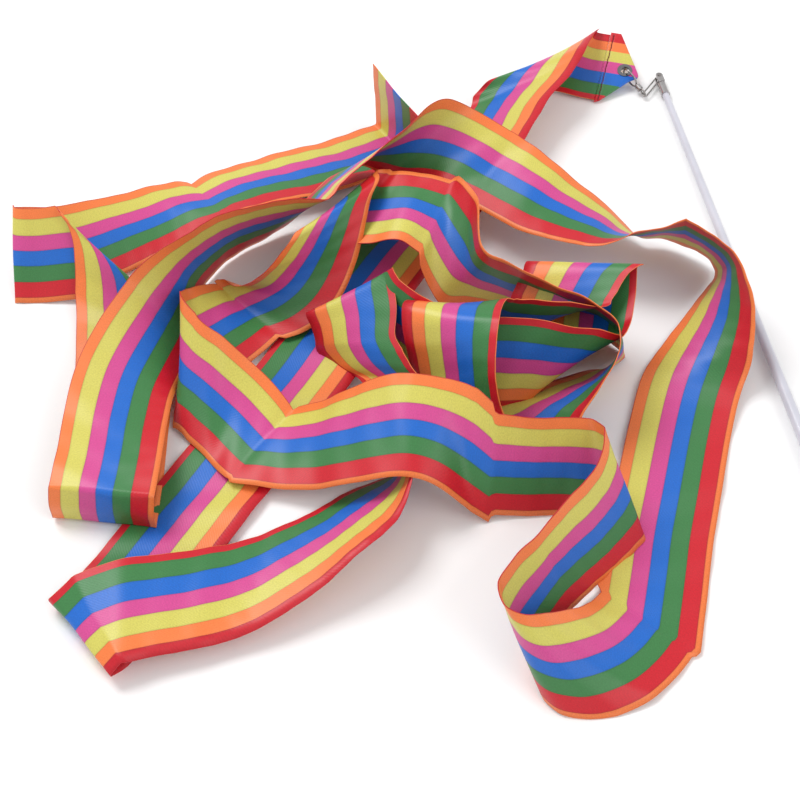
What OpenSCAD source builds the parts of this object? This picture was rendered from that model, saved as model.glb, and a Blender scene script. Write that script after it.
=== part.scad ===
// Rhythmic ribbon wand, lying on the floor with its satin ribbon in loose loops.
// Millimetres. Z is up, the wand runs towards -Y, the ribbon lies at its -X side.

/* [Ribbon] */
// Width of the satin band
ribbon_w = 48; // [40:1:60]
// Thickness of the satin band
ribbon_t = 0.6; // [0.4:0.1:1.2]
// Thickness of the folded and stitched tab
tab_t = 1.6; // [1.2:0.1:2.4]
// Thread radius of the tab's seam
thread_r = 0.25; // [0.15:0.05:0.5]

/* [Eyelet] */
// Radius of the eyelet's hole
eyelet_hole_r = 2.5; // [2:0.1:3]
// Outer radius of the eyelet's face
eyelet_face_r = 4.3; // [3.8:0.1:5]

/* [Swivel] */
// Wire radius of the hook through the eyelet
hook_wire_r = 0.55; // [0.4:0.05:0.7]
// Outer radius of the swivel barrel
barrel_r = 1.9; // [1.7:0.1:2.4]
// Radius of the two necks that turn in the barrel
neck_r = 0.6; // [0.5:0.05:0.8]
// Running clearance of each neck
neck_gap = 0.05; // [0.02:0.01:0.1]
// Wire radius of the long link
link_wire_r = 0.45; // [0.35:0.05:0.5]

/* [Wand] */
// Length of the rod
rod_len = 500; // [400:5:560]
// Radius of the rod at its tip
rod_tip_r = 1.9; // [1.5:0.1:2.3]
// Radius of the rod where the grip begins
rod_butt_r = 3.2; // [2.6:0.1:4]
// Length of the grip sleeve
grip_len = 110; // [80:5:140]
// Radius of the grip sleeve
grip_r = 5.5; // [4.5:0.1:6.5]
// Radius of the end cap
cap_r = 5.4; // [4.8:0.1:5.5]

/* [Output] */
// Sub-component to show

/* [Hidden] */
$fn = 48;
// Moves the whole object so that its box stands centred on the origin.
home = [-15.67, -3.59, 0];
// Seam between tab and ribbon, and the tab's heading and tilt.
seam = [118, 247, 7.6];
tab_turn = -15;
tab_tilt = 14;
// Eyelet in the tab's own plane.
eye_x = 13.2;
eye_y = -0.5;
// Swivel line, turned in the tab's plane and dipped towards the floor.
swivel_turn = -41.7;
swivel_dip = 4.4;
// Stations along the swivel line.
hook_back = 3.7;
hook_front = 6.8;
hook_round = 4.2;
barrel_x = 11.8;
barrel_len = 3.6;
ring_x = 17.6;
ring_round = 1.7;
ring_wire_r = 0.5;
// Long link, from the swivel's ring to the pin in the ferrule.
link_start = [141.3, 227.6, 2.95];
link_turn = 57.8;
link_span = 18.2;
link_half = 1.3;
pin_r = 0.7;
// Wand, from the pin in the ferrule towards the butt.
wand_start = [151, 243, 2.95];
wand_turn = 8.24;
wand_tilt = -0.4;
rod_start = 6.5;
grip_start = rod_start + rod_len - grip_len;
// Samples between two stations of the ribbon's route.
steps = 2;
// Route points where the ribbon is creased, so that its line breaks.
sharp = [17, 77, 87, 93, 100, 108, 116, 128, 135, 150, 155, 157, 175, 180];
// Ribbon's route: centre x, y, z, then direction and rise of the line from its far edge to its near edge.
// A sixth number is the share of its width where it's gathered.
route = [
  [118, 247, 7.6, 75, 14], [110, 249, 8, 72, 14], [101, 251, 10, 52, 13], [93, 249, 14, 36, 12],
  [85, 241, 19, 24, 10], [78, 231, 21, 13, 11], [70, 220, 17, -1, 18], [60, 203, 14, -17, 23],
  [42, 165, 11, -28, 20], [19, 124, 8, -32, 13], [-7, 88, 6, -31, 8], [-42, 23, 4, -31, 4],
  [-69, -25, 3, -29, 2], [-94, -68, 3, -27, 2], [-119, -112, 3, -32, 3], [-131, -131, 3, -45, 1],
  [-136, -138, 8, -51, -1], [-129, -133, 14, -57, -4], [-112, -127, 14, -63, -9],
  [-87, -120, 11, -69, -5], [-67, -112, 9, -66, 5], [-48, -101, 10, -59, 15],
  [-32, -90, 13, -56, 24], [-20, -80, 14, -55, 28], [-10, -70, 14, -53, 34, 0.9],
  [0, -58, 15, -60, 50, 0.7], [4, -46, 18, -100, 85, 0.6], [3, -32, 18, 160, 50, 0.6],
  [0, -18, 18, 145, 0, 0.7], [-5, -4, 18, 140, -28, 0.9], [-15, 8, 18, 145, -34],
  [-21, 18, 21, 152, -30], [-23, 30, 27, 165, -26], [-25, 41, 31, -178, -28],
  [-21, 45, 28, 178, -46], [-12, 35, 25, -174, -62], [1, 21, 24, -142, -66],
  [17, 9, 24, -122, -66], [34, 3, 24, -112, -66], [50, 1, 25, -112, -64], [62, 0, 25, -134, -62],
  [73, -1, 24, -158, -56], [82, 1, 23, -172, -42], [87, 10, 22, -177, -36],
  [90, 25, 24, 174, -32], [92, 41, 32, 165, -24], [91, 50, 42, 163, -15], [86, 47, 43, 163, -14],
  [79, 37, 36, 162, -18], [74, 30, 28, 163, -30], [67, 26, 25, 158, -52], [59, 25, 25, 150, -68],
  [49, 26, 26, 148, -68], [39, 26, 32, 153, -50], [30, 24, 42, 158, -28], [25, 17, 49, 160, -15],
  [23, 8, 50, 160, -14], [23, -2, 42, 156, -18], [25, -11, 29, 150, -24], [28, -19, 18, 148, -20],
  [31, -26, 14, 147, -14], [33, -31, 10, 147, -12], [39, -28, 7, 146, -11],
  [50, -23, 8, 144, -12], [61, -20, 10, 138, -16], [72, -14, 13, 119, -26],
  [83, -8, 16, 101, -33], [93, -3, 20, 88, -42], [101, 3, 23, 80, -52], [106, 11, 25, 73, -57],
  [105, 20, 24, 70, -63], [98, 29, 24, 70, -64], [87, 37, 24, 70, -66], [71, 45, 24, 70, -68],
  [52, 53, 25, 72, -74], [37, 60, 26, 130, -82], [29, 74, 29, -118, -44], [19, 92, 34, -111, -10],
  [6, 97, 37, -108, -4], [-8, 100, 34, -112, -10], [-21, 103, 31, -126, -13],
  [-30, 101, 36, -133, -7], [-31, 91, 43, -136, -1], [-36, 80, 41, -140, -1],
  [-43, 69, 31, -150, 0], [-53, 62, 18, -172, 2], [-65, 58, 9, 152, 4], [-77, 54, 6, 134, 2],
  [-91, 36, 12, 121, 22], [-104, 16, 20, 95, 41], [-104, 3, 21, 77, 42], [-93, -7, 18, 69, 33],
  [-79, -18, 12, 62, 20], [-65, -33, 8, 54, 4], [-48, -37, 13, 58, 13], [-31, -41, 22, 65, 24],
  [-15, -44, 32, 73, 28], [2, -46, 38, 80, 25], [17, -48, 36, 83, 28], [31, -51, 28, 86, 42],
  [42, -57, 23, 88, 56], [59, -58, 22, 93, 60], [76, -58, 22, 100, 60], [91, -61, 23, 114, 57],
  [100, -69, 25, 130, 56], [97, -79, 23, 137, 57], [88, -91, 23, 148, 60],
  [77, -103, 24, 148, 65], [67, -115, 24, 150, 66], [56, -129, 23, 138, 62],
  [49, -145, 24, 130, 57], [53, -157, 24, 134, 54], [63, -161, 22, 138, 50],
  [75, -158, 19, 139, 41], [89, -149, 13, 138, 26], [99, -138, 6, 138, 10],
  [107, -127, 2, 139, 2], [112, -105, 2, 154, 0], [117, -82, 2, 167, 0], [123, -59, 2, 171, 0],
  [133, -21, 2, 172, 0], [141, 5, 5, 173, -7], [150, 24, 12, 155, -24], [158, 40, 18, 130, -38],
  [163, 56, 22, 106, -47], [164, 67, 24, 92, -53, 0.9], [160, 77, 24, 81, -57, 0.84],
  [153, 84, 25, 76, -59, 0.87], [145, 89, 26, 72, -62, 0.95], [134, 91, 24, 72, -50, 0.97],
  [122, 91, 23, 73, -46], [112, 95, 21, 74, -31], [101, 101, 22, 75, -14], [87, 107, 25, 76, -1],
  [70, 117, 28, 74, 9], [48, 136, 29, 60, 16], [32, 147, 30, 56, 27], [18, 152, 31, 48, 45],
  [5, 152, 31, 20, 62], [-6, 148, 31, -42, 60], [-16, 142, 31, -64, 50], [-27, 131, 31, -69, 45],
  [-36, 121, 30, -67, 42], [-42, 113, 28, -61, 42], [-48, 107, 25, -52, 50],
  [-60, 103, 24, -50, 60], [-77, 95, 24, -50, 68], [-91, 84, 25, -60, 78],
  [-103, 68, 25, -100, 82], [-110, 53, 24, 175, 68], [-117, 36, 21, 152, 48],
  [-125, 15, 20, 152, 28], [-130, -4, 20, 160, 16], [-132, -26, 20, 172, 6],
  [-132, -51, 22, 176, 1], [-133, -72, 22, 174, 0], [-134, -75, 12, 173, 0],
  [-134, -75, 3, 172, 0], [-134, -62, 2, 172, 0], [-134, -35, 2, 173, 0], [-135, 8, 2, 170, 0],
  [-138, 42, 3, 162, 3], [-140, 57, 9, 152, 9], [-143, 67, 20, 146, 16], [-151, 76, 26, 142, 26],
  [-159, 80, 22, 132, 33], [-170, 81, 20, 116, 43], [-184, 81, 18, 98, 46],
  [-194, 81, 18, 91, 46], [-197, 83, 17, 93, 43], [-190, 86, 15, 104, 37],
  [-174, 91, 13, 115, 29], [-156, 103, 9, 117, 17], [-135, 119, 5, 120, 5],
  [-117, 131, 5, 120, -6], [-102, 134, 8, 122, -15], [-92, 142, 7, 116, -13],
  [-69, 152, 6, 114, -10], [-43, 161, 6, 111, -9], [-21, 171, 6, 111, -8], [-2, 181, 5, 120, -4],
  [-1, 182, 15, 122, 1], [-1, 182, 28, 122, 3], [-2, 181, 43, 122, 6]
];
last = len(route) - 1;

function unit(v) = v / norm(v);
function across(r) = [cos(r[4]) * cos(r[3]), cos(r[4]) * sin(r[3]), sin(r[4])];
function place(r) = [r[0], r[1], r[2]];
function share(r) = len(r) > 5 ? r[5] : 1;
function ease(a, b, c, d, t) =
  0.5 * (2 * b + (c - a) * t + (2 * a - 5 * b + 4 * c - d) * t * t + (3 * b - a - 3 * c + d) * t * t * t);
function ends(k) = k <= 0 || k >= last || len(search(k, sharp)) > 0;
// Neighbours of a span, mirrored where the line breaks.
function early(list, i) = ends(i) ? 2 * list[i] - list[i + 1] : list[i - 1];
function late(list, i) = ends(i + 1) ? 2 * list[i + 1] - list[i] : list[i + 2];
function blend(list, i, t) = ease(early(list, i), list[i], list[i + 1], late(list, i), t);

places = [for (r = route) place(r)];
lines = [for (r = route) across(r)];
shares = [for (r = route) share(r)];
centres = [
  for (i = [0 : last - 1]) for (s = [0 : steps - 1]) blend(places, i, s / steps),
  places[last]
];
rulings = [
  for (i = [0 : last - 1]) for (s = [0 : steps - 1]) unit(blend(lines, i, s / steps)),
  lines[last]
];
gathers = [
  for (i = [0 : last - 1]) for (s = [0 : steps - 1]) blend(shares, i, s / steps),
  shares[last]
];
count = len(centres);
function along(k) = unit(centres[min(count - 1, k + 1)] - centres[max(0, k - 1)]);
function half(k) =
  ribbon_w / 2 * gathers[k] / max(0.85, norm(cross(rulings[k], along(k))));
function lift(k) = unit(cross(along(k), rulings[k])) * ribbon_t / 2;

module band() {
  skin = [
    for (k = [0 : count - 1]) each [
      centres[k] + rulings[k] * half(k) + lift(k),
      centres[k] - rulings[k] * half(k) + lift(k),
      centres[k] - rulings[k] * half(k) - lift(k),
      centres[k] + rulings[k] * half(k) - lift(k)
    ]
  ];
  sides = [
    for (k = [0 : count - 2]) each [
      [4 * k, 4 * k + 4, 4 * k + 1],
      [4 * k + 1, 4 * k + 4, 4 * k + 5],
      [4 * k + 1, 4 * k + 5, 4 * k + 2],
      [4 * k + 2, 4 * k + 5, 4 * k + 6],
      [4 * k + 2, 4 * k + 7, 4 * k + 3],
      [4 * k + 2, 4 * k + 6, 4 * k + 7],
      [4 * k + 3, 4 * k + 7, 4 * k],
      [4 * k, 4 * k + 7, 4 * k + 4]
    ]
  ];
  ends = [
    [0, 1, 3],
    [1, 2, 3],
    [4 * count - 4, 4 * count - 1, 4 * count - 3],
    [4 * count - 3, 4 * count - 1, 4 * count - 2]
  ];
  polyhedron(points = skin, faces = concat(sides, ends), convexity = 12);
}

module tab_frame() {
  translate(seam + home) rotate([0, 0, tab_turn]) rotate([tab_tilt, 0, 0]) children();
}

module eyelet_frame() {
  tab_frame() translate([eye_x, eye_y, 0]) children();
}

module swivel_frame() {
  eyelet_frame() rotate([0, 0, swivel_turn]) rotate([0, swivel_dip, 0]) children();
}

module link_frame() {
  translate(link_start + home) rotate([0, 0, link_turn]) children();
}

module wand_frame() {
  translate(wand_start + home) rotate([0, 0, wand_turn]) rotate([wand_tilt, 0, 0]) rotate([90, 0, 0])
    children();
}

module bar(a, b, r) {
  d = b - a;
  translate(a) rotate([0, acos(d[2] / norm(d)), atan2(d[1], d[0])]) cylinder(r = r, h = norm(d));
}

module half_ring(round, wire) {
  rotate([0, 0, -90]) rotate_extrude(angle = 180) translate([round, 0]) circle(r = wire);
}

module long_ring(start, end, round, wire) {
  translate([end, 0, 0]) half_ring(round, wire);
  translate([start, 0, 0]) rotate([0, 0, 180]) half_ring(round, wire);
  translate([start, round, 0]) rotate([0, 90, 0]) cylinder(r = wire, h = end - start);
  translate([start, -round, 0]) rotate([0, 90, 0]) cylinder(r = wire, h = end - start);
}

module tube(outer, inner, h) {
  difference() {
    cylinder(r = outer, h = h);
    translate([0, 0, -1]) cylinder(r = inner, h = h + 2);
  }
}

module ribbon() {
  color([0.93, 0.55, 0.25]) translate(home) band();
}

module ribbon_tab() {
  color([0.91, 0.4, 0.64]) tab_frame() difference() {
    translate([0.05, 0, -tab_t / 2]) linear_extrude(tab_t)
      polygon([[0, -26], [3, -24.5], [17, -7.5], [21, -4.5], [21.5, -1.5], [6.5, 26], [0, 26]]);
    translate([eye_x, eye_y, -tab_t]) cylinder(r = 3.05, h = 2 * tab_t);
  }
}

module tab_stitching() {
  color([0.5, 0.06, 0.1]) tab_frame() translate([2.2, 0, tab_t / 2 + thread_r + 0.01])
    for (s = [-11 : 10]) bar([0, 2.2 * s + 0.2, 0], [0, 2.2 * s + 1.9, 0], thread_r);
}

module eyelet() {
  color([0.8, 0.8, 0.82]) eyelet_frame() {
    translate([0, 0, -tab_t / 2 - 0.6]) tube(3, eyelet_hole_r, tab_t + 1);
    translate([0, 0, tab_t / 2 + 0.01]) tube(eyelet_face_r, eyelet_hole_r, 0.45);
    translate([0, 0, -tab_t / 2 - 0.65]) tube(3.5, eyelet_hole_r, 0.2);
  }
}

module eyelet_washer() {
  color([0.7, 0.7, 0.72]) eyelet_frame() translate([0, 0, -tab_t / 2 - 0.42]) tube(eyelet_face_r, 3.05, 0.4);
}

module hook_wire() {
  color([0.75, 0.75, 0.77]) swivel_frame() {
    rotate([90, 0, 0]) long_ring(hook_back, hook_front, hook_round, hook_wire_r);
    translate([hook_front + hook_round, 0, 0]) rotate([0, 90, 0]) cylinder(r = neck_r, h = 2.2);
    translate([barrel_x + 0.9, 0, 0]) rotate([0, 90, 0]) cylinder(r = 1.15, h = 0.7);
  }
}

module swivel_barrel() {
  color([0.85, 0.85, 0.87]) swivel_frame() translate([barrel_x, 0, 0]) rotate([0, 90, 0]) difference() {
    union() {
      cylinder(r = barrel_r - 0.4, h = barrel_len);
      translate([0, 0, 0.4]) cylinder(r = barrel_r, h = barrel_len - 0.8);
    }
    translate([0, 0, -1]) cylinder(r = neck_r + neck_gap, h = barrel_len + 2);
    translate([0, 0, 0.7]) cylinder(r = 1.25, h = barrel_len - 1.4);
  }
}

module swivel_eye() {
  color([0.75, 0.75, 0.77]) swivel_frame() {
    translate([barrel_x + 2, 0, 0]) rotate([0, 90, 0]) cylinder(r = 1.15, h = 0.7);
    translate([barrel_x + 2.4, 0, 0]) rotate([0, 90, 0]) cylinder(r = neck_r, h = 1.5);
    translate([ring_x, 0, 0]) rotate([90, 0, 0]) rotate_extrude() translate([ring_round, 0])
      circle(r = ring_wire_r);
  }
}

module link_wire() {
  color([0.75, 0.75, 0.77]) link_frame() long_ring(0, link_span, link_half, link_wire_r);
}

module ferrule_pin() {
  color([0.7, 0.7, 0.72]) wand_frame() rotate([90, 0, 0]) {
    translate([0, 0, -2.5]) cylinder(r = pin_r, h = 5);
    translate([0, 0, 2.31]) cylinder(r = 1.2, h = 0.4);
    translate([0, 0, -2.71]) cylinder(r = 1.2, h = 0.4);
  }
}

module tip_ferrule() {
  color([0.85, 0.85, 0.87]) wand_frame() difference() {
    union() {
      translate([0, 0, 5.2]) cylinder(r1 = 1.8, r2 = 2.6, h = 1.6);
      translate([0, 0, 6.8]) cylinder(r = 2.6, h = 9.2);
      translate([-2, -2.3, 0]) cube([4, 4.6, 5.5]);
      rotate([90, 0, 0]) translate([0, 0, -2.3]) cylinder(r = 2, h = 4.6);
    }
    translate([-4, -1, -4]) cube([8, 2, 9.6]);
    rotate([90, 0, 0]) translate([0, 0, -4]) cylinder(r = pin_r, h = 8);
    translate([0, 0, rod_start]) cylinder(r = rod_tip_r, h = 20);
    translate([-4, 0, 11.5]) rotate([0, 90, 0]) cylinder(r = 0.5, h = 8);
  }
}

module ferrule_rivet() {
  color([0.6, 0.6, 0.62]) wand_frame() translate([-2.6, 0, 11.5]) rotate([0, 90, 0])
    cylinder(r = 0.5, h = 5.2);
}

module wand_rod() {
  color([0.93, 0.93, 0.95]) wand_frame() difference() {
    union() {
      translate([0, 0, rod_start]) cylinder(r = rod_tip_r, h = 10);
      translate([0, 0, rod_start + 10])
        cylinder(r1 = rod_tip_r, r2 = rod_butt_r, h = grip_start - rod_start - 10);
      translate([0, 0, grip_start]) cylinder(r = rod_butt_r, h = grip_len);
    }
    translate([-4, 0, 11.5]) rotate([0, 90, 0]) cylinder(r = 0.5, h = 8);
    translate([0, 0, grip_start + grip_len - 14]) cylinder(r = 1.5, h = 20);
  }
}

module grip_collar() {
  color([0.85, 0.85, 0.87]) wand_frame() translate([0, 0, grip_start]) difference() {
    union() {
      cylinder(r1 = 4, r2 = grip_r - 0.2, h = 4);
      translate([0, 0, 4]) cylinder(r = grip_r - 0.2, h = 2);
    }
    translate([0, 0, -1]) cylinder(r = rod_butt_r, h = 10);
  }
}

module grip_sleeve() {
  color([0.12, 0.12, 0.13]) wand_frame() translate([0, 0, grip_start + 6]) tube(grip_r, rod_butt_r, grip_len - 6);
}

module end_cap() {
  color([0.12, 0.12, 0.13]) wand_frame() translate([0, 0, grip_start + grip_len]) difference() {
    union() {
      cylinder(r = cap_r, h = 4);
      translate([0, 0, 4]) cylinder(r1 = cap_r, r2 = cap_r - 2, h = 2);
    }
    translate([0, 0, -1]) cylinder(r = 1.5, h = 5);
  }
}

module cap_plug() {
  color([0.6, 0.6, 0.62]) wand_frame() translate([0, 0, grip_start + grip_len - 14]) cylinder(r = 1.5, h = 18);
}

ribbon();
ribbon_tab();
tab_stitching();
eyelet();
eyelet_washer();
hook_wire();
swivel_barrel();
swivel_eye();
link_wire();
ferrule_pin();
tip_ferrule();
ferrule_rivet();
wand_rod();
grip_collar();
grip_sleeve();
end_cap();
cap_plug();
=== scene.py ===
"""Rhythmic ribbon wand: satin ribbon, stitched tab, swivel and wand, in the CAD frame, in metres."""

import math

import bpy
import numpy as np
from mathutils import Matrix, Vector


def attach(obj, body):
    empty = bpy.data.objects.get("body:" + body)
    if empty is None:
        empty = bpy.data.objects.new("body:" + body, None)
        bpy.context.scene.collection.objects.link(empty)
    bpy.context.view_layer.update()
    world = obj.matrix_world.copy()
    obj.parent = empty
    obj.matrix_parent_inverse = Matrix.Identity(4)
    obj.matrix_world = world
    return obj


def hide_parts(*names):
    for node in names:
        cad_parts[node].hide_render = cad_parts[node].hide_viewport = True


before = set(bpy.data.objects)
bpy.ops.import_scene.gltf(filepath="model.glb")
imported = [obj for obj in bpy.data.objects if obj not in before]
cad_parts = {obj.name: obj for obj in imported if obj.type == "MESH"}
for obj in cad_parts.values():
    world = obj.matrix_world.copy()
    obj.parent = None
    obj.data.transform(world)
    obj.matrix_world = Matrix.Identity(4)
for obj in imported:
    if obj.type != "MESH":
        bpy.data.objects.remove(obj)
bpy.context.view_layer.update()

HOME = np.array([-15.67, -3.59, 0.0])  # mm, as in part.scad
WIDTH = 0.048  # m, the satin band
THICK = 0.0004  # m
STEPS = 10  # samples between two route points
FLOOR_GAP = 0.0004  # m, the lowest that the band's middle layer lies
SHARP = [17, 77, 87, 93, 100, 108, 116, 128, 135, 150, 155, 157, 175, 180]  # creased route points

# Route points of the ribbon from part.scad: centre in mm, direction and rise of the ruling, gathered share.
ROUTE = [
    [118, 247, 7.6, 75, 14], [110, 249, 8, 72, 14], [101, 251, 10, 52, 13], [93, 249, 14, 36, 12],
    [85, 241, 19, 24, 10], [78, 231, 21, 13, 11], [70, 220, 17, -1, 18], [60, 203, 14, -17, 23],
    [42, 165, 11, -28, 20], [19, 124, 8, -32, 13], [-7, 88, 6, -31, 8], [-42, 23, 4, -31, 4],
    [-69, -25, 3, -29, 2], [-94, -68, 3, -27, 2], [-119, -112, 3, -32, 3], [-131, -131, 3, -45, 1],
    [-136, -138, 8, -51, -1], [-129, -133, 14, -57, -4], [-112, -127, 14, -63, -9],
    [-87, -120, 11, -69, -5], [-67, -112, 9, -66, 5], [-48, -101, 10, -59, 15],
    [-32, -90, 13, -56, 24], [-20, -80, 14, -55, 28], [-10, -70, 14, -53, 34, 0.9],
    [0, -58, 15, -60, 50, 0.7], [4, -46, 18, -100, 85, 0.6], [3, -32, 18, 160, 50, 0.6],
    [0, -18, 18, 145, 0, 0.7], [-5, -4, 18, 140, -28, 0.9], [-15, 8, 18, 145, -34],
    [-21, 18, 21, 152, -30], [-23, 30, 27, 165, -26], [-25, 41, 31, -178, -28],
    [-21, 45, 28, 178, -46], [-12, 35, 25, -174, -62], [1, 21, 24, -142, -66],
    [17, 9, 24, -122, -66], [34, 3, 24, -112, -66], [50, 1, 25, -112, -64], [62, 0, 25, -134, -62],
    [73, -1, 24, -158, -56], [82, 1, 23, -172, -42], [87, 10, 22, -177, -36],
    [90, 25, 24, 174, -32], [92, 41, 32, 165, -24], [91, 50, 42, 163, -15], [86, 47, 43, 163, -14],
    [79, 37, 36, 162, -18], [74, 30, 28, 163, -30], [67, 26, 25, 158, -52], [59, 25, 25, 150, -68],
    [49, 26, 26, 148, -68], [39, 26, 32, 153, -50], [30, 24, 42, 158, -28], [25, 17, 49, 160, -15],
    [23, 8, 50, 160, -14], [23, -2, 42, 156, -18], [25, -11, 29, 150, -24], [28, -19, 18, 148, -20],
    [31, -26, 14, 147, -14], [33, -31, 10, 147, -12], [39, -28, 7, 146, -11],
    [50, -23, 8, 144, -12], [61, -20, 10, 138, -16], [72, -14, 13, 119, -26],
    [83, -8, 16, 101, -33], [93, -3, 20, 88, -42], [101, 3, 23, 80, -52], [106, 11, 25, 73, -57],
    [105, 20, 24, 70, -63], [98, 29, 24, 70, -64], [87, 37, 24, 70, -66], [71, 45, 24, 70, -68],
    [52, 53, 25, 72, -74], [37, 60, 26, 130, -82], [29, 74, 29, -118, -44], [19, 92, 34, -111, -10],
    [6, 97, 37, -108, -4], [-8, 100, 34, -112, -10], [-21, 103, 31, -126, -13],
    [-30, 101, 36, -133, -7], [-31, 91, 43, -136, -1], [-36, 80, 41, -140, -1],
    [-43, 69, 31, -150, 0], [-53, 62, 18, -172, 2], [-65, 58, 9, 152, 4], [-77, 54, 6, 134, 2],
    [-91, 36, 12, 121, 22], [-104, 16, 20, 95, 41], [-104, 3, 21, 77, 42], [-93, -7, 18, 69, 33],
    [-79, -18, 12, 62, 20], [-65, -33, 8, 54, 4], [-48, -37, 13, 58, 13], [-31, -41, 22, 65, 24],
    [-15, -44, 32, 73, 28], [2, -46, 38, 80, 25], [17, -48, 36, 83, 28], [31, -51, 28, 86, 42],
    [42, -57, 23, 88, 56], [59, -58, 22, 93, 60], [76, -58, 22, 100, 60], [91, -61, 23, 114, 57],
    [100, -69, 25, 130, 56], [97, -79, 23, 137, 57], [88, -91, 23, 148, 60],
    [77, -103, 24, 148, 65], [67, -115, 24, 150, 66], [56, -129, 23, 138, 62],
    [49, -145, 24, 130, 57], [53, -157, 24, 134, 54], [63, -161, 22, 138, 50],
    [75, -158, 19, 139, 41], [89, -149, 13, 138, 26], [99, -138, 6, 138, 10],
    [107, -127, 2, 139, 2], [112, -105, 2, 154, 0], [117, -82, 2, 167, 0], [123, -59, 2, 171, 0],
    [133, -21, 2, 172, 0], [141, 5, 5, 173, -7], [150, 24, 12, 155, -24], [158, 40, 18, 130, -38],
    [163, 56, 22, 106, -47], [164, 67, 24, 92, -53, 0.9], [160, 77, 24, 81, -57, 0.84],
    [153, 84, 25, 76, -59, 0.87], [145, 89, 26, 72, -62, 0.95], [134, 91, 24, 72, -50, 0.97],
    [122, 91, 23, 73, -46], [112, 95, 21, 74, -31], [101, 101, 22, 75, -14], [87, 107, 25, 76, -1],
    [70, 117, 28, 74, 9], [48, 136, 29, 60, 16], [32, 147, 30, 56, 27], [18, 152, 31, 48, 45],
    [5, 152, 31, 20, 62], [-6, 148, 31, -42, 60], [-16, 142, 31, -64, 50], [-27, 131, 31, -69, 45],
    [-36, 121, 30, -67, 42], [-42, 113, 28, -61, 42], [-48, 107, 25, -52, 50],
    [-60, 103, 24, -50, 60], [-77, 95, 24, -50, 68], [-91, 84, 25, -60, 78],
    [-103, 68, 25, -100, 82], [-110, 53, 24, 175, 68], [-117, 36, 21, 152, 48],
    [-125, 15, 20, 152, 28], [-130, -4, 20, 160, 16], [-132, -26, 20, 172, 6],
    [-132, -51, 22, 176, 1], [-133, -72, 22, 174, 0], [-134, -75, 12, 173, 0],
    [-134, -75, 3, 172, 0], [-134, -62, 2, 172, 0], [-134, -35, 2, 173, 0], [-135, 8, 2, 170, 0],
    [-138, 42, 3, 162, 3], [-140, 57, 9, 152, 9], [-143, 67, 20, 146, 16], [-151, 76, 26, 142, 26],
    [-159, 80, 22, 132, 33], [-170, 81, 20, 116, 43], [-184, 81, 18, 98, 46],
    [-194, 81, 18, 91, 46], [-197, 83, 17, 93, 43], [-190, 86, 15, 104, 37],
    [-174, 91, 13, 115, 29], [-156, 103, 9, 117, 17], [-135, 119, 5, 120, 5],
    [-117, 131, 5, 120, -6], [-102, 134, 8, 122, -15], [-92, 142, 7, 116, -13],
    [-69, 152, 6, 114, -10], [-43, 161, 6, 111, -9], [-21, 171, 6, 111, -8], [-2, 181, 5, 120, -4],
    [-1, 182, 15, 122, 1], [-1, 182, 28, 122, 3], [-2, 181, 43, 122, 6],
]

# Stripe edges as shares of the width, at the tab's end and at the free end: the cut drifts over the print.
EDGES_TIP = [0, 0.11, 0.245, 0.415, 0.575, 0.755, 0.925, 0.997, 1]
EDGES_END = [0, 0.004, 0.115, 0.29, 0.45, 0.61, 0.78, 0.945, 1]
DRIFT = (56, 74)  # route points between which the cut drifts
RED, ORANGE, YELLOW = (0.58, 0.010, 0.022), (0.86, 0.20, 0.05), (0.62, 0.57, 0.11)
PINK, BLUE, GREEN = (0.62, 0.065, 0.27), (0.010, 0.135, 0.56), (0.045, 0.20, 0.058)
STRIPES = [RED, ORANGE, YELLOW, PINK, BLUE, GREEN, RED, ORANGE]
NAMES = ["red_rim", "orange", "yellow", "pink", "blue", "green", "red", "orange_rim"]
COLUMNS = [1, 3, 3, 3, 3, 3, 3, 1]  # faces across each stripe

# Pressed creases: route point, height of the ridge and its reach, in mm.
CREASES = [
    (17, 1.2, 7), (31, 1.0, 8), (77, 1.4, 10), (87, 1.0, 8), (93, -0.8, 8), (100, 1.2, 10),
    (108, 1.2, 10), (116, -0.6, 8), (135, 1.4, 10), (150, 1.2, 8), (175, -1.0, 8),
]

# Waves of the lying satin: height in m, rate along the band in rad/m, skew across it in rad.
SWELL, ROLL = (0.0004, 71, -1.1), (0.00035, 160, 2)
PUCKER, CRIMP = (0.00028, 335, 4), (0.0001, 640, -3)
PATCH = (17, 0.8)  # rate and skew of the change between puckered and flat stretches
CALM_END = 0.02  # m without full waves at the tab


def spline(points, n):
    """Catmull-Rom through the points, with its ends and the creased points as breaks."""
    out, last = [], len(points) - 1
    breaks = {0, last, *SHARP}
    for i in range(last):
        b, c = points[i], points[i + 1]
        a = 2 * b - c if i in breaks else points[i - 1]
        d = 2 * c - b if i + 1 in breaks else points[i + 2]
        for t in np.arange(n) / n:
            s = 2 * b + (c - a) * t + (2 * a - 5 * b + 4 * c - d) * t**2
            out.append(0.5 * (s + (3 * b - a - 3 * c + d) * t**3))
    out.append(points[-1])
    return np.array(out)


def unit(v):
    """The vectors at unit length."""
    return v / np.linalg.norm(v, axis=-1, keepdims=True)


def rulings(route):
    """Direction across the band at each route point."""
    yaw, rise = np.radians([r[3] for r in route]), np.radians([r[4] for r in route])
    return np.stack([np.cos(rise) * np.cos(yaw), np.cos(rise) * np.sin(yaw), np.sin(rise)], -1)


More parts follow.
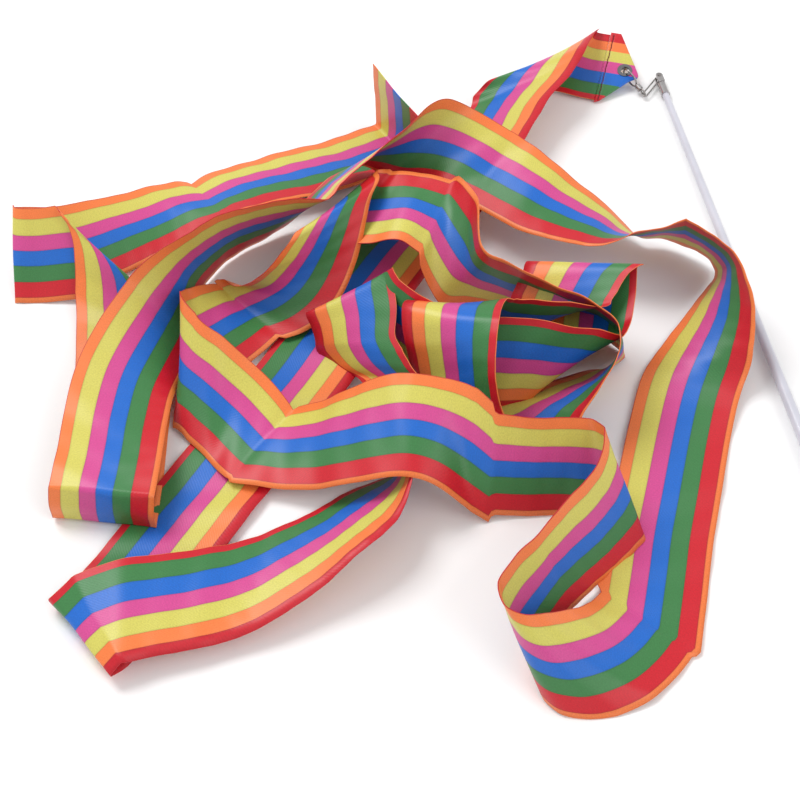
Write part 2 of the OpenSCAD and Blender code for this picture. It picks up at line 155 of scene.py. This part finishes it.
def material(name, color, rough=0.45, metal=0.0, coat=0.0, bump=0.05, noise=900.0, speckle=0.06):
    """A plain finish with a faint procedural grain in its colour and height."""
    m = bpy.data.materials.new(name)
    m.use_nodes = True
    n, l = m.node_tree.nodes, m.node_tree.links
    b = n["Principled BSDF"]
    b.inputs["Roughness"].default_value = rough
    b.inputs["Metallic"].default_value = metal
    b.inputs["Coat Weight"].default_value = coat
    where = n.new("ShaderNodeTexCoord")
    tex = n.new("ShaderNodeTexNoise")
    tex.name = "grain"
    tex.inputs["Scale"].default_value = noise
    tex.inputs["Detail"].default_value = 3
    l.new(where.outputs["Object"], tex.inputs["Vector"])
    shade = n.new("ShaderNodeMapRange")
    shade.inputs["From Min"].default_value = 0.3
    shade.inputs["From Max"].default_value = 0.7
    shade.inputs["To Min"].default_value = 1 - speckle
    shade.inputs["To Max"].default_value = 1 + speckle
    l.new(tex.outputs["Fac"], shade.inputs["Value"])
    tint = n.new("ShaderNodeVectorMath")
    tint.name = "tint"
    tint.operation = "SCALE"
    tint.inputs[0].default_value = color
    l.new(shade.outputs["Result"], tint.inputs["Scale"])
    l.new(tint.outputs["Vector"], b.inputs["Base Color"])
    k = n.new("ShaderNodeBump")
    k.name = "relief"
    k.inputs["Strength"].default_value = bump
    k.inputs["Distance"].default_value = 0.00015
    l.new(tex.outputs["Fac"], k.inputs["Height"])
    l.new(k.outputs["Normal"], b.inputs["Normal"])
    return m


def satin(name, color):
    """Satin: a soft wide gloss, a fine speckle of the threads and a twill relief that follows the band."""
    m = material(name, color, rough=0.4, speckle=0.1, noise=1500)
    n, l = m.node_tree.nodes, m.node_tree.links
    b, grain, relief, tint = n["Principled BSDF"], n["grain"], n["relief"], n["tint"]
    b.inputs["Specular IOR Level"].default_value = 0.45
    b.inputs["Anisotropic"].default_value = 0.6
    warp = n.new("ShaderNodeTangent")
    warp.direction_type = "UV_MAP"
    warp.uv_map = "UVMap"
    l.new(warp.outputs["Tangent"], b.inputs["Tangent"])
    uv = n.new("ShaderNodeUVMap")
    uv.uv_map = "UVMap"
    l.new(uv.outputs["UV"], grain.inputs["Vector"])
    wave = n.new("ShaderNodeTexWave")
    wave.bands_direction = "DIAGONAL"
    wave.inputs["Scale"].default_value = 420
    wave.inputs["Distortion"].default_value = 2
    wave.inputs["Detail"].default_value = 1
    l.new(uv.outputs["UV"], wave.inputs["Vector"])
    relief.inputs["Strength"].default_value = 0.16
    l.new(wave.outputs["Fac"], relief.inputs["Height"])
    # A thin darker line where two stripes meet.
    seam = n.new("ShaderNodeUVMap")
    seam.uv_map = "Seams"
    split = n.new("ShaderNodeSeparateXYZ")
    l.new(seam.outputs["UV"], split.inputs["Vector"])
    power = n.new("ShaderNodeMath")
    power.operation = "POWER"
    power.inputs[1].default_value = 8
    l.new(split.outputs["X"], power.inputs[0])
    dark = n.new("ShaderNodeMath")
    dark.operation = "MULTIPLY_ADD"
    dark.inputs[1].default_value = -0.32
    dark.inputs[2].default_value = 1
    l.new(power.outputs["Value"], dark.inputs[0])
    lined = n.new("ShaderNodeVectorMath")
    lined.operation = "SCALE"
    l.new(tint.outputs["Vector"], lined.inputs[0])
    l.new(dark.outputs["Value"], lined.inputs["Scale"])
    l.new(lined.outputs["Vector"], b.inputs["Base Color"])
    return m


SATIN = [satin("satin_" + n, c) for n, c in zip(NAMES, STRIPES)]


def mesh(name, verts, faces, mats, index=None, uv=None, seams=None):
    """A smooth-shaded mesh object, with a material index per face and UVs per vertex."""
    me = bpy.data.meshes.new(name)
    me.from_pydata([tuple(v) for v in verts], [], faces)
    for m in mats:
        me.materials.append(m)
    if index is not None:
        me.polygons.foreach_set("material_index", index)
    me.polygons.foreach_set("use_smooth", [True] * len(me.polygons))
    for label, data in (("UVMap", uv), ("Seams", seams)):
        if data is not None:
            layer = me.uv_layers.new(name=label)
            loops = np.empty(len(me.loops), dtype=np.int64)
            me.loops.foreach_get("vertex_index", loops)
            layer.data.foreach_set("uv", np.asarray(data)[loops].ravel())
    me.validate()
    o = bpy.data.objects.new(name, me)
    bpy.context.collection.objects.link(o)
    return o


def sheet_mesh(name, grid, normal, thick, edges_of, mats, uv_len):
    """A closed thin sheet over a grid of points [row][column]; column c has material edges_of[c]."""
    rows, cols = grid.shape[:2]
    top = (grid + normal * thick / 2).reshape(-1, 3)
    low = (grid - normal * thick / 2).reshape(-1, 3)
    size = rows * cols
    faces, index = [], []
    for r in range(rows - 1):
        for c in range(cols - 1):
            a = r * cols + c
            q = (a, a + 1, a + cols + 1, a + cols)
            faces.append(q)
            faces.append(tuple(size + v for v in reversed(q)))
            index += [edges_of[c]] * 2
        for c, k in ((0, 0), (cols - 1, cols - 2)):
            a, b = r * cols + c, (r + 1) * cols + c
            faces.append((a, b, size + b, size + a) if c == 0 else (b, a, size + a, size + b))
            index.append(edges_of[k])
    for r in (0, rows - 1):
        for c in range(cols - 1):
            a, b = r * cols + c, r * cols + c + 1
            faces.append((b, a, size + a, size + b) if r == 0 else (a, b, size + b, size + a))
            index.append(edges_of[c])
    uv = np.zeros((rows, cols, 2))
    uv[..., 0] = np.linspace(0, WIDTH, cols)
    uv[..., 1] = uv_len[:, None]
    seams = np.zeros((rows, cols, 2))
    seams[:, np.cumsum(COLUMNS)[:-1], 0] = 1
    uv = np.tile(uv.reshape(-1, 2), (2, 1))
    seams = np.tile(seams.reshape(-1, 2), (2, 1))
    return mesh(name, np.vstack([top, low]), faces, mats, index, uv, seams)


def ripple(kind, row, side, shift=0):
    """Height of one kind of wave at a length row and a side share of the band."""
    high, rate, skew = kind
    return high * np.sin(row * rate + skew * side + shift)


def make_ribbon():
    """The satin band along its route, and its length."""
    centre = spline(np.array([r[:3] for r in ROUTE], float) + HOME, STEPS) / 1000
    across = unit(spline(rulings(ROUTE), STEPS))
    share = spline(np.array([[r[5] if len(r) > 5 else 1.0] for r in ROUTE]), STEPS)[:, 0]
    along = unit(np.gradient(centre, axis=0))
    lean = np.maximum(0.85, np.linalg.norm(np.cross(across, along), axis=1))
    half = WIDTH / 2 * share / lean
    s = np.concatenate([[0], np.cumsum(np.linalg.norm(np.diff(centre, axis=0), axis=1))])
    normal = unit(np.cross(along, across))
    at = np.arange(len(centre)) / STEPS
    turn = np.clip((at - DRIFT[0]) / (DRIFT[1] - DRIFT[0]), 0, 1)
    edges = np.outer(1 - turn, EDGES_TIP) + np.outer(turn, EDGES_END)
    cols, stripe = [], []
    for k, n in enumerate(COLUMNS):
        for j in range(n):
            cols.append(edges[:, k] + (edges[:, k + 1] - edges[:, k]) * j / n)
            stripe.append(k)
    cols.append(edges[:, -1])
    u = np.stack(cols, -1)
    side = 1 - 2 * u
    grid = centre[:, None] + across[:, None] * (side * half[:, None])[..., None]
    row = s[:, None]
    patch = 0.5 + 0.5 * np.sin(row * PATCH[0] + PATCH[1] * side)
    relief = ripple(SWELL, row, side, 1.3) + ripple(ROLL, row, side)
    relief = relief + patch * ripple(PUCKER, row, side, np.sin(row * 23))
    relief = relief + (1 - patch) * ripple(CRIMP, row, side)
    for k, high, reach in CREASES:
        away = 1000 * np.abs(row - s[k * STEPS])
        relief = relief + high / 1000 * np.exp(-away / reach) * (0.7 + 0.3 * np.cos(3 * side))
    calm = np.minimum(1, row / CALM_END)
    grid = grid + normal[:, None] * (relief * calm)[..., None]
    grid[..., 2] = np.maximum(grid[..., 2], FLOOR_GAP)
    o = sheet_mesh("satin_ribbon", grid, normal[:, None], THICK, stripe, SATIN, s)
    return o, s[-1]


ribbon, length = make_ribbon()
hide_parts("ribbon")
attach(ribbon, "ribbon_body")

# Tab: three layers of the same satin, folded to a point and stitched.
SEAM, TURN, TILT = Vector((118, 247, 7.6)), math.radians(-15), math.radians(14)
TAB = Matrix.Translation((SEAM + Vector(HOME)) / 1000)
TAB = TAB @ Matrix.Rotation(TURN, 4, "Z") @ Matrix.Rotation(TILT, 4, "X")
EYE = (0.0132, -0.0005)
EYE_HOLE = 0.0029  # m, radius left open for the eyelet
HALF_TAB = 0.0008  # m
TAB_END = 0.0216  # m, from the seam to the tab's point
STITCH_X = 0.0022  # m, from the seam to the row of stitches


def tab_bounds(x):
    """Upper and lower edge of the pointed tab at a distance x from the seam."""
    hi = np.interp(x, [0, 0.0062, 0.0212, TAB_END], [0.026, 0.026, -0.001, -0.003])
    lo = np.interp(x, [0, 0.003, 0.017, 0.021, TAB_END], [-0.0258, -0.0242, -0.0074, -0.0045, -0.003])
    return hi, lo


def make_tab():
    """The folded tab, puffed between its rims and pressed in along the stitches."""
    rows = 44
    xs = np.linspace(0.0001, 0.0215, rows)
    edges = [0.026, 0.0185, 0.0118, 0.0042, -0.004, -0.0125, -0.0205, -0.026]
    order = [6, 1, 2, 3, 4, 5, 6]
    ys = np.concatenate([np.linspace(a, b, 5) for a, b in zip(edges[:-1], edges[1:])])
    ys = np.unique(np.round(ys, 6))[::-1]
    faces, index = [], []
    grid = np.zeros((rows, len(ys), 3))
    for i, x in enumerate(xs):
        hi, lo = tab_bounds(x)
        grid[i, :, 0] = x
        grid[i, :, 1] = np.clip(ys, lo, hi)
    low = grid.copy()
    for g, sign in ((grid, 1), (low, -1)):
        hi, lo = tab_bounds(xs)
        rim = np.minimum(hi[:, None] - g[..., 1], g[..., 1] - lo[:, None])
        rim = np.minimum(rim, np.minimum(TAB_END - xs, xs + 0.0001)[:, None])
        puff = HALF_TAB * np.sqrt(np.clip(rim / 0.0012, 0, 1))
        off_seam = (xs - STITCH_X)[:, None]
        puff = puff - 0.00018 * np.exp(-((off_seam / 0.0006) ** 2))
        puff = puff + 0.00005 * np.sin(g[..., 1] * 2800) * np.exp(-((off_seam / 0.0025) ** 2))
        g[..., 2] = sign * np.maximum(puff, 0.00005)
    c = len(ys)
    pts = np.vstack([grid.reshape(-1, 3), low.reshape(-1, 3)])
    off = rows * c
    for i in range(rows - 1):
        for j in range(c - 1):
            a = i * c + j
            q = (a, a + c, a + c + 1, a + 1)
            mid = pts[list(q)].mean(0)
            area = abs(pts[q[0], 1] - pts[q[3], 1]) + abs(pts[q[1], 1] - pts[q[2], 1])
            if area < 1e-7 or math.hypot(mid[0] - EYE[0], mid[1] - EYE[1]) < EYE_HOLE:
                continue
            k = int(np.searchsorted(-np.array(edges), -mid[1]) - 1)
            k = order[min(max(k, 0), len(order) - 1)]
            faces.append(q)
            faces.append(tuple(off + v for v in reversed(q)))
            index += [k, k]
    return mesh("satin_tab", pts, faces, SATIN, index, pts[:, [1, 0]])


tab = make_tab()
tab.matrix_world = TAB
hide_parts("ribbon_tab")
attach(tab, "ribbon_body")


def sweep(points, radius, sides=10, closed=False):
    """Vertices and faces of a round cord through the points."""
    p = np.asarray(points, float)
    t = unit(np.roll(p, -1, 0) - np.roll(p, 1, 0)) if closed else unit(np.gradient(p, axis=0))
    ref = np.array([0.0, 0.0, 1.0])
    a = unit(np.cross(t, ref) + 1e-9)
    b = np.cross(a, t)
    ang = np.arange(sides) / sides * 2 * math.pi
    ring = np.cos(ang)[None, :, None] * a[:, None] + np.sin(ang)[None, :, None] * b[:, None]
    v = (p[:, None] + ring * radius).reshape(-1, 3)
    n = len(p)
    f = []
    for i in range(n if closed else n - 1):
        for j in range(sides):
            k = (i + 1) % n
            f.append((i * sides + j, k * sides + j, k * sides + (j + 1) % sides, i * sides + (j + 1) % sides))
    if not closed:
        f.append(tuple(range(sides)))
        f.append(tuple((n - 1) * sides + j for j in reversed(range(sides))))
    return v, f


THREAD = material("thread", (0.16, 0.012, 0.02), rough=0.7, bump=0.5, noise=4000)


def make_stitches():
    """A row of short thread arches across the tab."""
    verts, faces = [], []
    for s in range(-11, 11):
        y0, y1 = (2.2 * s + 0.1) / 1000, (2.2 * s + 2.0) / 1000
        t = np.linspace(0, 1, 9)
        z = HALF_TAB - 0.0001 + 0.0003 * np.sin(math.pi * t)
        x = STITCH_X + 0.00012 * math.sin(s * 2.3) * np.ones(9)
        v, f = sweep(np.stack([x, y0 + (y1 - y0) * t, z], -1), 0.00024, 8)
        base = sum(len(k) for k in verts)
        verts.append(v)
        faces += [tuple(base + i for i in q) for q in f]
    return mesh("seam_stitches", np.vstack(verts), faces, [THREAD])


stitches = make_stitches()
stitches.matrix_world = TAB
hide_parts("tab_stitching")
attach(stitches, "ribbon_body")

# Hardware and wand keep their CAD shapes.
CHROME = material("chrome_plate", (0.52, 0.50, 0.50), rough=0.22, metal=1, noise=600)
DARK = material("dark_plate", (0.24, 0.24, 0.25), rough=0.22, metal=1, noise=600)
STEEL = material("steel_wire", (0.36, 0.34, 0.33), rough=0.3, metal=1, noise=1500)
WHITE = material("white_rod", (0.60, 0.60, 0.67), rough=0.3, coat=0.2, noise=60)
GRIP = material("grip_rubber", (0.02, 0.02, 0.022), rough=0.75, bump=0.6, noise=1400)
FINISH = {
    "eyelet": DARK, "eyelet_washer": DARK, "swivel_barrel": CHROME, "tip_ferrule": CHROME,
    "grip_collar": CHROME, "hook_wire": STEEL, "swivel_eye": STEEL, "link_wire": STEEL,
    "ferrule_pin": STEEL, "ferrule_rivet": STEEL, "cap_plug": STEEL, "wand_rod": WHITE,
    "grip_sleeve": GRIP, "end_cap": GRIP,
}
for node, mat in FINISH.items():
    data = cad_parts[node].data
    data.materials.clear()
    data.materials.append(mat)

# Floor, light and camera.
PAINT = material("floor_paint", (0.93, 0.93, 0.93), rough=0.9, noise=3)
floor = mesh("floor", [(-4, -4, 0), (4, -4, 0), (4, 4, 0), (-4, 4, 0)], [(0, 1, 2, 3)], [PAINT])


def lamp(name, where, to, size, power):
    """A square area lamp of a size in m and a power in W."""
    data = bpy.data.lights.new(name, "AREA")
    data.size = size
    data.energy = power
    o = bpy.data.objects.new(name, data)
    o.location = where
    o.rotation_euler = (Vector(to) - Vector(where)).to_track_quat("-Z", "Y").to_euler()
    bpy.context.collection.objects.link(o)


lamp("key", (-1.1, 0.9, 2.2), (0, 0, 0), 1.1, 36)
lamp("fill", (1.6, -1.2, 1.8), (0, 0, 0), 1.6, 16)
world = bpy.data.worlds.new("studio")
world.use_nodes = True
world.node_tree.nodes["Background"].inputs["Color"].default_value = (1, 1, 1, 1)
world.node_tree.nodes["Background"].inputs["Strength"].default_value = 0.7
bpy.context.scene.world = world
bpy.context.scene.view_settings.view_transform = "Standard"

AIM = Vector(HOME) / 1000
FAR, RISE = 0.76, math.radians(50)
cam = bpy.data.objects.new("camera", bpy.data.cameras.new("camera"))
cam.data.sensor_width = 36
cam.data.lens = 36 * 1566 / 800
cam.location = AIM + Vector((0, -FAR * math.cos(RISE), FAR * math.sin(RISE)))
cam.rotation_euler = (math.pi / 2 - RISE, 0, 0)
bpy.context.collection.objects.link(cam)
bpy.context.scene.camera = cam
